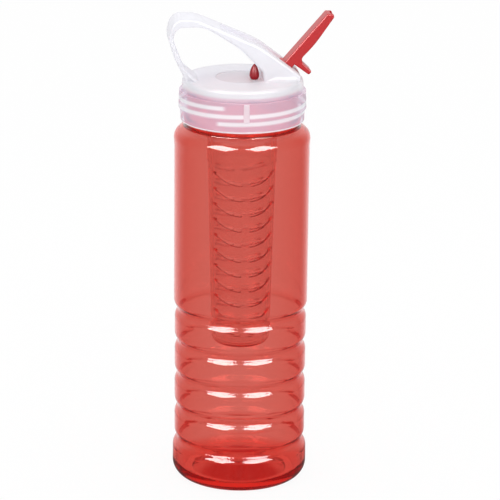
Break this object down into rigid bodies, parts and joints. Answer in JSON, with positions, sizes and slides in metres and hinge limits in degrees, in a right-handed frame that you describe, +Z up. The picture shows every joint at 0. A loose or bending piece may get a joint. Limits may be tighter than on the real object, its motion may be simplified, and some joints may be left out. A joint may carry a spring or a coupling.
{
  "type": "fruit infuser water bottle",
  "caption": "Clear red ribbed drinking bottle with a hanging slotted fruit basket, a frosted screw lid with a carrying loop, and a fold-back drinking spout.",
  "frame": {"origin": "on the bottle's axis, in the plane of the ring that it stands on", "axes": "+Z up the bottle's axis towards the lid; +X from the free bow of the carrying loop towards the drinking spout; the loop lies in the XZ plane"},
  "size_m": [0.0871, 0.073, 0.2566],
  "materials": {
    "clear_red_copolyester": "clear tinted copolyester, blow-moulded, glossy",
    "clear_red_basket": "clear tinted copolyester, injection-moulded, glossy",
    "frosted_polypropylene": "natural polypropylene, translucent, satin",
    "red_spout_plastic": "translucent red polypropylene, polished",
    "red_silicone": "moulded silicone, satin",
    "white_silicone": "moulded silicone, matte"
  },
  "bodies": {
    "bottle": {"bottle_body": "clear_red_copolyester"},
    "infuser": {"infuser_basket": "clear_red_basket", "lid_gasket": "white_silicone"},
    "lid": {"lid": "frosted_polypropylene", "vent_valve": "red_silicone", "spout_seal": "white_silicone"},
    "spout": {"flip_spout": "red_spout_plastic"}
  },
  "joints": [
    {"name": "lid_lift", "type": "slide", "parent": "bottle", "child": "infuser", "axis": [0, 0, 1], "range_m": [0, 0.0085]},
    {"name": "lid_turn", "type": "hinge", "parent": "infuser", "child": "lid", "pos_m": [0, 0, 0.2], "axis": [0, 0, 1], "range_deg": [0, 720]},
    {"name": "spout_flip", "type": "hinge", "parent": "lid", "child": "spout", "pos_m": [0.0209, 0, 0.2269], "axis": [0, -1, 0], "range_deg": [0, 94]}
  ],
  "couplings": [
    {"joint": "lid_lift", "follows": "lid_turn", "m_per_rad": 0.00066845}
  ]
}
